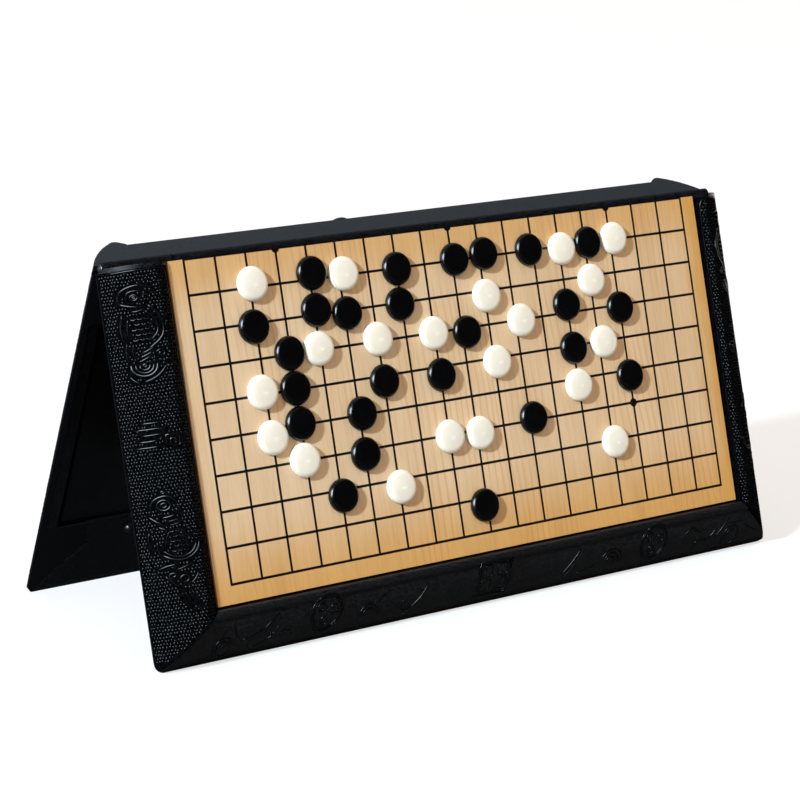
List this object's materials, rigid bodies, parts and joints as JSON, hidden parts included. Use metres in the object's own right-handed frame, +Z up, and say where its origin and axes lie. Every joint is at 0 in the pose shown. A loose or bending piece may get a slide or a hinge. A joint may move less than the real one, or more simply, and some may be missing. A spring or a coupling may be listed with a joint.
{
  "type": "folding magnetic go board with stone drawers",
  "caption": "Folding go board in a hinged case standing as a tent, with magnetic stones on a ruled wood-look surface and a stone drawer in each half.",
  "frame": {"origin": "on the floor, midway between the two standing edges and midway along the hinge", "axes": "+Z up, +X along the hinge with the front half's drawer at +X, +Y from the front half (the one with the stones) to the back half"},
  "size_m": [0.3696, 0.1434, 0.179],
  "materials": {
    "black_plastic": "glossy black moulding",
    "textured_plastic": "black, pebbled with raised ornament",
    "smooth_plastic": "black, satin with shallow raised ornament",
    "steel": "bright sheet and turned steel",
    "printed_board": "light maple print with black lines",
    "stud": "polished dome",
    "black_stone": "glossy black",
    "white_stone": "glossy ivory white",
    "magnet": "nickel-plated disc"
  },
  "bodies": {
    "front_half": {"front_shell": "black_plastic", "front_knuckles": "black_plastic", "front_outer_rail": "smooth_plastic", "front_hinge_base": "black_plastic", "front_outer_base": "black_plastic", "front_steel_sheet": "steel", "front_board": "printed_board", "front_end_cap": "textured_plastic", "front_stud": "stud", "hinge_pin": "steel"},
    "back_half": {"back_shell": "black_plastic", "back_knuckles": "black_plastic", "back_outer_rail": "smooth_plastic", "back_hinge_base": "black_plastic", "back_outer_base": "black_plastic", "back_steel_sheet": "steel", "back_board": "printed_board", "back_end_cap": "textured_plastic", "back_stud": "stud"},
    "front_drawer": {"front_drawer_pan": "black_plastic", "front_drawer_face": "textured_plastic", "front_drawer_screws": "steel"},
    "back_drawer": {"back_drawer_pan": "black_plastic", "back_drawer_face": "textured_plastic", "back_drawer_screws": "steel"},
    "black_stone_group": {"black_stones": "black_stone", "black_stone_magnets": "magnet"},
    "white_stone_group": {"white_stones": "white_stone", "white_stone_magnets": "magnet"},
    "seam_stone_group": {"seam_stone": "black_stone", "seam_stone_magnet": "magnet"}
  },
  "joints": [
    {"name": "case_hinge", "type": "hinge", "parent": "front_half", "child": "back_half", "pos_m": [0, 0, 0.17273], "axis": [1, 0, 0], "range_deg": [-37.26, 142.74]},
    {"name": "front_drawer_slide", "type": "slide", "parent": "front_half", "child": "front_drawer", "axis": [1, 0, 0], "range_m": [0, 0.25]},
    {"name": "back_drawer_slide", "type": "slide", "parent": "back_half", "child": "back_drawer", "axis": [-1, 0, 0], "range_m": [0, 0.25]},
    {"name": "black_stones_lift", "type": "slide", "parent": "front_half", "child": "black_stone_group", "axis": [0, -0.9476, 0.3195], "range_m": [0, 0.025]},
    {"name": "white_stones_lift", "type": "slide", "parent": "front_half", "child": "white_stone_group", "axis": [0, -0.9476, 0.3195], "range_m": [0, 0.025]},
    {"name": "seam_stone_lift", "type": "slide", "parent": "back_half", "child": "seam_stone_group", "axis": [0, 0.9476, 0.3195], "range_m": [0, 0.025]}
  ]
}
